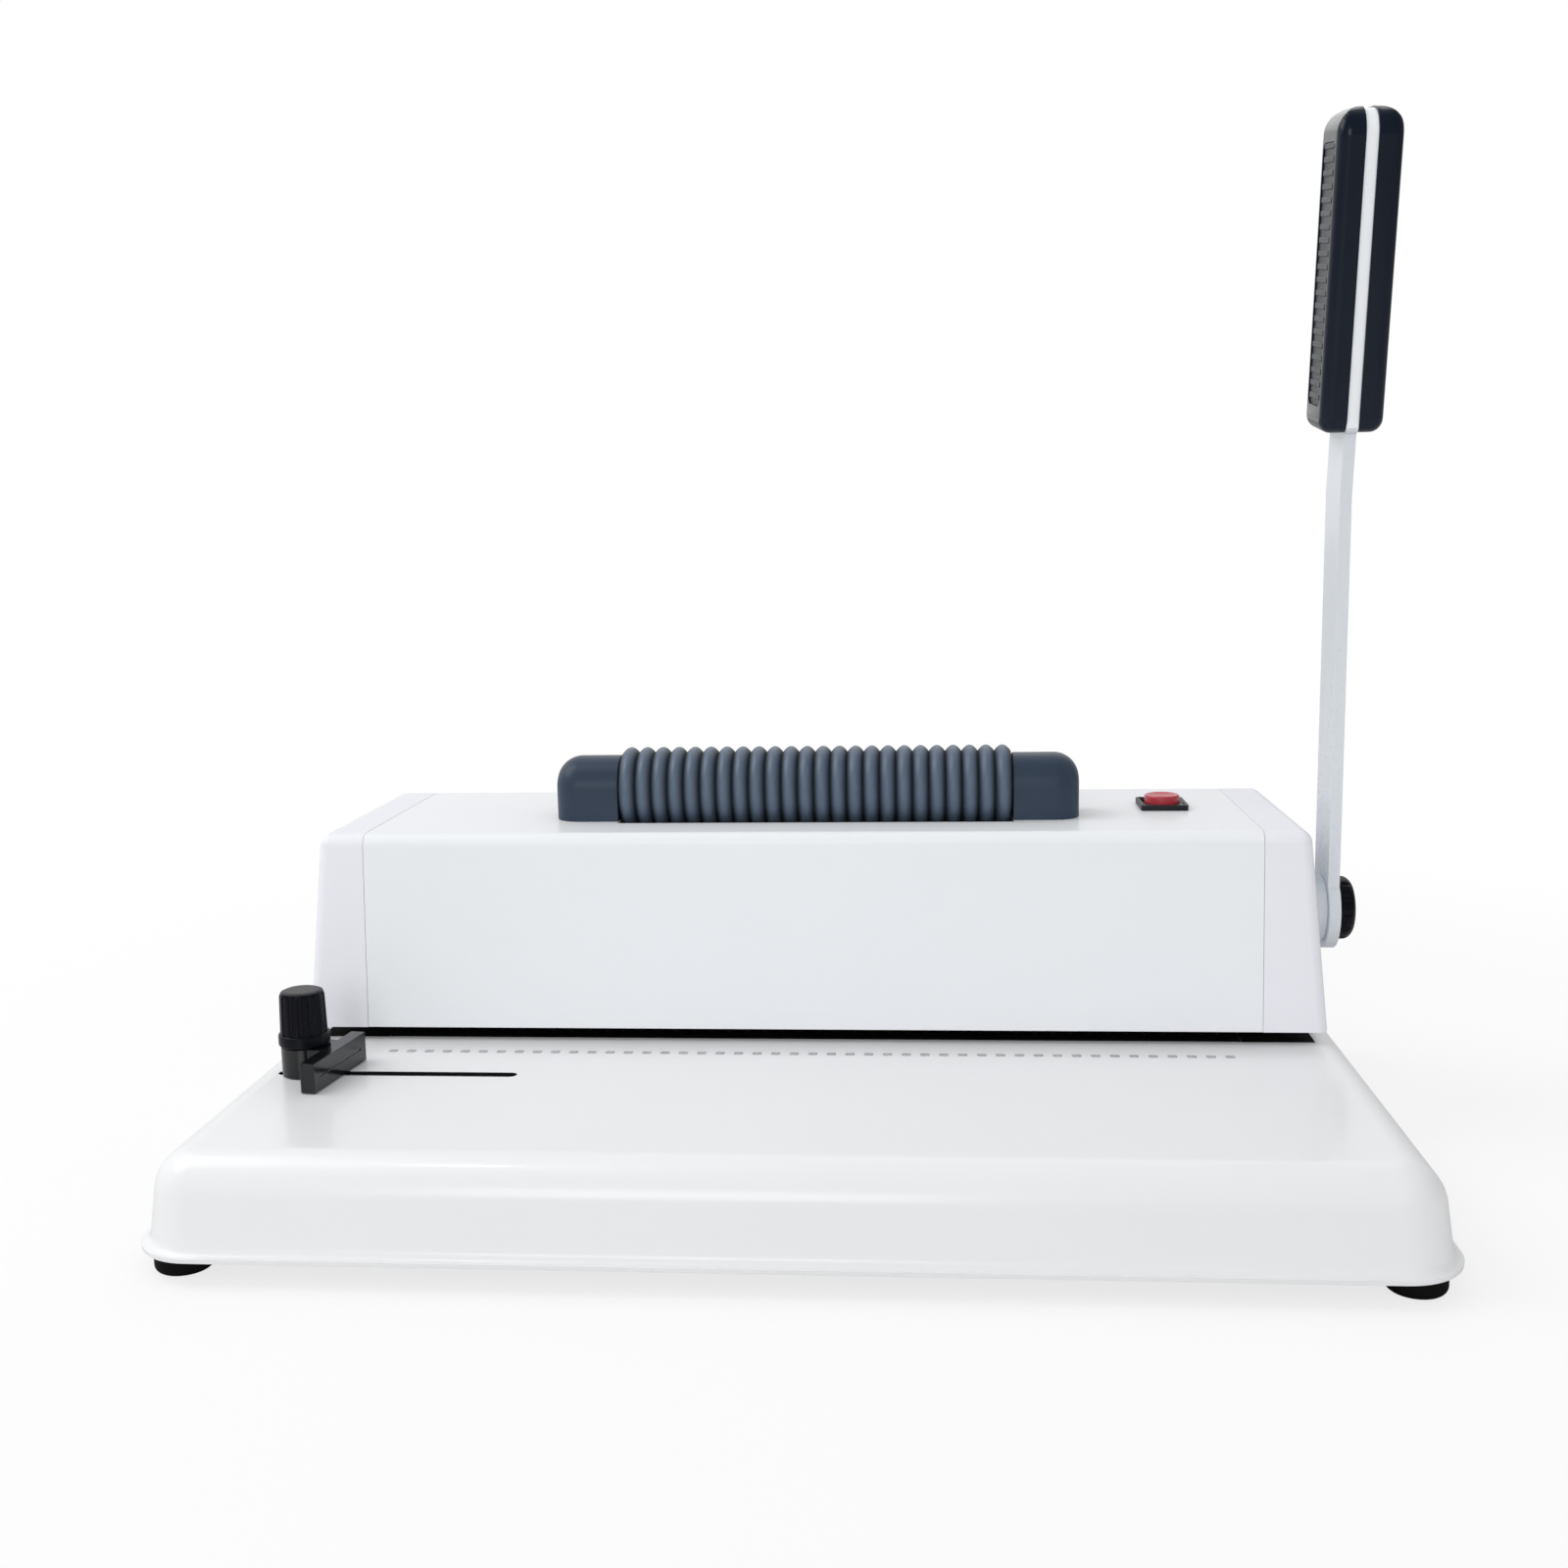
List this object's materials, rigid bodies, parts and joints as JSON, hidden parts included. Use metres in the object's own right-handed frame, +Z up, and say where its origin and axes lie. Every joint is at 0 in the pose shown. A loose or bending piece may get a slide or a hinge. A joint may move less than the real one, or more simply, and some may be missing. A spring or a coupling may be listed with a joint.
{
  "type": "coil binding machine",
  "caption": "Desktop lever punch for coil binding: low pan base, long body with a paper throat, upright side lever, ribbed roller on top, red button and sliding side guide.",
  "frame": {"origin": "floor level under the middle of the base", "axes": "+X along the body towards the lever, +Y to the back, +Z up"},
  "size_m": [0.3873, 0.238, 0.3451],
  "materials": {
    "white_enamel": "glossy stove enamel on pressed sheet steel",
    "white_cover": "satin powder coat on bent sheet steel",
    "white_plastic": "moulded, satin gloss",
    "zinc_sheet": "zinc plated sheet",
    "zinc_steel": "bright zinc plated",
    "tool_steel": "ground steel",
    "black_screws": "black oxide",
    "bronze": "sintered bronze",
    "black_rubber": "matt rubber",
    "black_plastic": "moulded",
    "slate_plastic": "moulded, fine satin texture",
    "slate_rubber": "moulded ribbed rubber",
    "lever_paint": "light grey paint on flat steel bar",
    "grip_plastic": "moulded, textured broad faces",
    "knob_plastic": "moulded, fluted",
    "pulley_metal": "turned",
    "red_plastic": "moulded, dished top",
    "guide_plastic": "moulded",
    "tray_plastic": "moulded"
  },
  "bodies": {
    "base": {"base_pan": "white_enamel", "bottom_plate": "zinc_sheet", "rubber_feet": "black_rubber", "foot_screws": "zinc_steel", "base_posts": "zinc_steel", "base_screws": "zinc_steel", "tray_rails": "zinc_sheet", "die_plate": "tool_steel", "back_gauge": "tool_steel", "guide_plate": "tool_steel", "block_screws": "black_screws", "left_side_plate": "zinc_sheet", "right_side_plate": "zinc_sheet", "frame_screws": "zinc_steel", "shaft_bushes": "bronze", "guide_posts": "tool_steel", "return_springs": "zinc_steel", "cover": "white_cover", "left_end_cover": "white_plastic", "right_end_cover": "white_plastic", "end_cover_screws": "zinc_steel", "rear_cover": "white_cover", "rear_screws": "zinc_steel", "power_inlet": "black_plastic", "left_roller_housing": "slate_plastic", "right_roller_housing": "slate_plastic", "roller_bushes": "bronze", "motor": "zinc_steel", "motor_bracket": "zinc_sheet", "motor_screws": "black_screws", "drive_belt": "black_rubber", "button_bezel": "black_plastic", "button_switch": "black_plastic"},
    "lever": {"drive_shaft": "tool_steel", "drive_pinions": "tool_steel", "lever_hub": "lever_paint", "lever_bar": "lever_paint", "inner_grip_scale": "grip_plastic", "outer_grip_scale": "grip_plastic", "grip_screws": "zinc_steel"},
    "lever_knob": {"lever_knob": "knob_plastic"},
    "punch": {"punch_beam": "tool_steel", "pin_plate": "tool_steel", "punch_pins": "tool_steel", "punch_racks": "tool_steel", "beam_screws": "black_screws"},
    "roller": {"roller_sleeve": "slate_rubber", "roller_shaft": "tool_steel", "roller_pulley": "pulley_metal"},
    "motor_rotor": {"motor_shaft": "tool_steel", "motor_pulley": "pulley_metal"},
    "button": {"button_cap": "red_plastic"},
    "guide_slider": {"guide_bolt": "zinc_steel"},
    "guide": {"side_guide": "guide_plastic"},
    "guide_knob": {"guide_knob": "knob_plastic"},
    "tray": {"chip_tray": "tray_plastic"}
  },
  "joints": [
    {"name": "lever_swing", "type": "hinge", "parent": "base", "child": "lever", "pos_m": [0.18, 0.0436, 0.075], "axis": [1, 0, 0], "range_deg": [0, 75], "stiffness_Nm_per_rad": 0.4, "springref_deg": -34.38},
    {"name": "punch_stroke", "type": "slide", "parent": "base", "child": "punch", "axis": [0, 0, -1], "range_m": [0, 0.0132], "deforming": ["return_springs"]},
    {"name": "lever_knob_turn", "type": "hinge", "parent": "lever", "child": "lever_knob", "pos_m": [0.19, 0.0436, 0.075], "axis": [1, 0, 0], "range_deg": [0, 360]},
    {"name": "roller_spin", "type": "hinge", "parent": "base", "child": "roller", "pos_m": [0.002, 0.0455, 0.1195], "axis": [1, 0, 0], "continuous": true},
    {"name": "motor_spin", "type": "hinge", "parent": "base", "child": "motor_rotor", "pos_m": [0.085, 0.0515, 0.0915], "axis": [1, 0, 0], "continuous": true},
    {"name": "button_press", "type": "slide", "parent": "base", "child": "button", "axis": [0, 0, -1], "range_m": [0, 0.002], "stiffness_N_per_m": 300, "springref_m": -0.002},
    {"name": "guide_slide", "type": "slide", "parent": "base", "child": "guide_slider", "axis": [1, 0, 0], "range_m": [-0.005, 0.068]},
    {"name": "guide_swivel", "type": "hinge", "parent": "guide_slider", "child": "guide", "pos_m": [-0.165, -0.0335, 0.04], "axis": [0, 0, 1], "range_deg": [-20, 40]},
    {"name": "guide_knob_turn", "type": "hinge", "parent": "guide_slider", "child": "guide_knob", "pos_m": [-0.165, -0.0335, 0.05], "axis": [0, 0, 1], "range_deg": [0, 360]},
    {"name": "tray_slide", "type": "slide", "parent": "base", "child": "tray", "axis": [0, 1, 0], "range_m": [0, 0.09]}
  ],
  "couplings": [
    {"joint": "punch_stroke", "follows": "lever_swing", "m_per_rad": 0.01},
    {"joint": "motor_spin", "follows": "roller_spin", "ratio": 1.1111}
  ]
}
